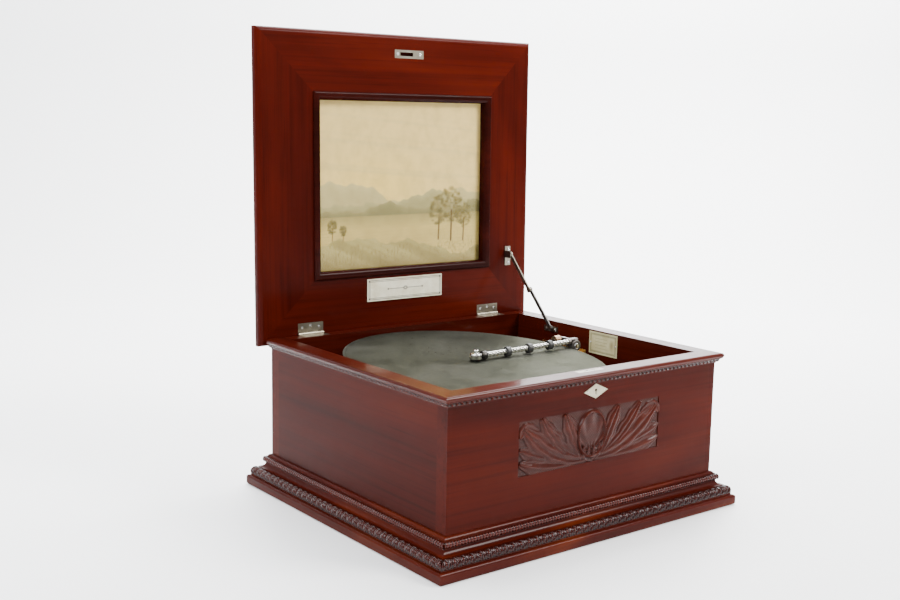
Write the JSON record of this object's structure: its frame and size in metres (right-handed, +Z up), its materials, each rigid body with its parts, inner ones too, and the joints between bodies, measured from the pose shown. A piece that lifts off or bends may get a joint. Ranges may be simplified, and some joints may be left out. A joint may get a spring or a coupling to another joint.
{
  "type": "disc music box",
  "caption": "Table-top disc music box: moulded mahogany case with carved front, framed picture in the hinged lid, perforated tune disc under a pressure bar, spring motor and winding crank",
  "frame": {"origin": "on the table, under the middle of the case footprint (base 554 by 498 mm)", "axes": "+Z up, +X to the right along the front, +Y to the back; the front faces -Y"},
  "size_m": [0.573, 0.5013, 0.6932],
  "materials": {
    "case_mahogany": "French-polished red-brown mahogany, glossy, with fine straight figure",
    "lid_mahogany": "French-polished red-brown mahogany with lively figure, high gloss",
    "plain_board": "plain unpolished softwood board",
    "carved_wood": "carved and polished dark mahogany, darker in the hollows",
    "picture_moulding": "narrow polished mahogany moulding",
    "plated_brass": "pale nickel-brass plate, lightly tarnished",
    "bright_steel": "turned and polished steel",
    "tune_steel": "dark mill-finished steel sheet with faint mottling",
    "comb_steel": "ground and blued spring steel",
    "black_casting": "black japanned cast iron",
    "dark_steel": "darkened steel",
    "black_roller": "black rubber-covered roller",
    "bronze": "turned bronze with a warm patina",
    "movement_brass": "turned and lacquered brass",
    "turned_wood": "dark turned hardwood handle",
    "printed_paper": "matt printed paper picture in soft yellows and greens",
    "picture_glass": "clear thin picture glass",
    "name_card": "cream varnished card with a thin dark border",
    "tune_card": "aged olive-cream card"
  },
  "bodies": {
    "case": {"case_front": "case_mahogany", "case_rear": "case_mahogany", "case_left": "case_mahogany", "case_right": "case_mahogany", "plinth_front": "case_mahogany", "plinth_rear": "case_mahogany", "plinth_left": "case_mahogany", "plinth_right": "case_mahogany", "rim_front": "case_mahogany", "rim_rear": "case_mahogany", "rim_left": "case_mahogany", "rim_right": "case_mahogany", "bottom_board": "plain_board", "front_carving": "carved_wood", "escutcheon": "plated_brass", "lock_case": "plated_brass", "hinge_case_leaves": "plated_brass", "case_screws": "bright_steel", "stay_case_bracket": "plated_brass", "tune_card": "tune_card", "bedplate": "black_casting", "combs": "comb_steel", "gantry": "black_casting", "spindle": "bright_steel", "bar_pedestal": "black_casting", "pivot_screw": "bright_steel", "motor_plates": "movement_brass", "motor_pillars": "bright_steel", "governor_cock": "movement_brass", "crank_bush": "movement_brass"},
    "lid": {"lid_rail_front": "lid_mahogany", "lid_rail_rear": "lid_mahogany", "lid_stile_left": "lid_mahogany", "lid_stile_right": "lid_mahogany", "lid_panel": "lid_mahogany", "picture_moulding": "picture_moulding", "picture_print": "printed_paper", "picture_glass": "picture_glass", "name_plate": "name_card", "strike_plate": "plated_brass", "lid_hinge_leaves": "plated_brass", "lid_screws": "bright_steel", "stay_lid_bracket": "plated_brass"},
    "stay_lower": {"stay_lower_link": "plated_brass"},
    "stay_upper": {"stay_upper_link": "plated_brass"},
    "bolt": {"lock_bolt": "bright_steel"},
    "disc": {"tune_disc": "tune_steel"},
    "sprocket": {"drive_sprocket": "bright_steel"},
    "barrel": {"spring_barrel": "movement_brass"},
    "second": {"second_wheel": "movement_brass"},
    "governor": {"governor_fly": "movement_brass"},
    "stars": {"star_wheels": "bright_steel"},
    "bar": {"pressure_bar": "dark_steel"},
    "roller_1": {"bar_roller_1": "black_roller"},
    "roller_2": {"bar_roller_2": "black_roller"},
    "roller_3": {"bar_roller_3": "black_roller"},
    "knob": {"clamp_knob": "bright_steel"},
    "edge": {"edge_roller": "bronze"},
    "crank": {"winding_crank": "bright_steel"},
    "handle": {"crank_handle": "turned_wood"}
  },
  "joints": [
    {"name": "lid_hinge", "type": "hinge", "parent": "case", "child": "lid", "pos_m": [0, 0.225, 0.2303], "axis": [-1, 0, 0], "range_deg": [-90.8, 0]},
    {"name": "stay_lower_pivot", "type": "hinge", "parent": "case", "child": "stay_lower", "pos_m": [0.2206, 0.1094, 0.2181], "axis": [1, 0, 0], "range_deg": [-112.2, 0]},
    {"name": "stay_upper_pivot", "type": "hinge", "parent": "lid", "child": "stay_upper", "pos_m": [0.2174, 0.21392, 0.33216], "axis": [1, 0, 0], "range_deg": [-33.5, 0]},
    {"name": "lock_bolt_slide", "type": "slide", "parent": "case", "child": "bolt", "axis": [0, 0, 1], "range_m": [0, 0.007]},
    {"name": "disc_spin", "type": "hinge", "parent": "case", "child": "disc", "pos_m": [-0.028, 0, 0.2095], "axis": [0.028, -0.0499, 0.9984], "continuous": true},
    {"name": "sprocket_spin", "type": "hinge", "parent": "case", "child": "sprocket", "pos_m": [0.185, 0.03, 0.18813], "axis": [1, 0, 0], "continuous": true},
    {"name": "barrel_spin", "type": "hinge", "parent": "case", "child": "barrel", "pos_m": [0.19, 0.068, 0.147], "axis": [1, 0, 0], "continuous": true},
    {"name": "second_spin", "type": "hinge", "parent": "case", "child": "second", "pos_m": [0.19, 0.0212, 0.12006], "axis": [1, 0, 0], "continuous": true},
    {"name": "governor_spin", "type": "hinge", "parent": "case", "child": "governor", "pos_m": [0.175, -0.013, 0.1], "axis": [0, 0, 1], "continuous": true},
    {"name": "stars_spin", "type": "hinge", "parent": "case", "child": "stars", "pos_m": [0.08587, 0.00537, 0.1974], "axis": [0.9989, 0.0471, 0], "continuous": true},
    {"name": "bar_pivot", "type": "hinge", "parent": "case", "child": "bar", "pos_m": [0.18063, 0.01284, 0.2096], "axis": [-0.0471, 0.9989, 0], "range_deg": [0, 80]},
    {"name": "roller_1_spin", "type": "hinge", "parent": "bar", "child": "roller_1", "pos_m": [0.03593, 0.00301, 0.2166], "axis": [0.9989, 0.0471, 0], "continuous": true},
    {"name": "roller_2_spin", "type": "hinge", "parent": "bar", "child": "roller_2", "pos_m": [0.08088, 0.00513, 0.2166], "axis": [0.9989, 0.0471, 0], "continuous": true},
    {"name": "roller_3_spin", "type": "hinge", "parent": "bar", "child": "roller_3", "pos_m": [0.12483, 0.00721, 0.2166], "axis": [0.9989, 0.0471, 0], "continuous": true},
    {"name": "knob_turn", "type": "hinge", "parent": "bar", "child": "knob", "pos_m": [-0.028, 0, 0.217], "axis": [0, 0, 1], "continuous": true},
    {"name": "edge_roller_spin", "type": "hinge", "parent": "case", "child": "edge", "pos_m": [0.16176, 0.03077, 0.2175], "axis": [0.9989, 0.0471, 0], "continuous": true},
    {"name": "crank_turn", "type": "hinge", "parent": "case", "child": "crank", "pos_m": [0.24, 0.068, 0.147], "axis": [1, 0, 0], "continuous": true},
    {"name": "handle_spin", "type": "hinge", "parent": "crank", "child": "handle", "pos_m": [0.277, 0.068, 0.085], "axis": [1, 0, 0], "continuous": true}
  ],
  "couplings": [
    {"joint": "stay_lower_pivot", "follows": "lid_hinge", "ratio": 1.2346},
    {"joint": "stay_upper_pivot", "follows": "lid_hinge", "ratio": 0.368},
    {"joint": "sprocket_spin", "follows": "disc_spin", "ratio": -10},
    {"joint": "barrel_spin", "follows": "disc_spin", "ratio": 1.6667},
    {"joint": "second_spin", "follows": "disc_spin", "ratio": -13.333},
    {"joint": "governor_spin", "follows": "disc_spin", "ratio": 800},
    {"joint": "edge_roller_spin", "follows": "disc_spin", "ratio": 29.6},
    {"joint": "roller_1_spin", "follows": "disc_spin", "ratio": 8.649},
    {"joint": "roller_2_spin", "follows": "disc_spin", "ratio": 14.73},
    {"joint": "roller_3_spin", "follows": "disc_spin", "ratio": 20.676}
  ]
}
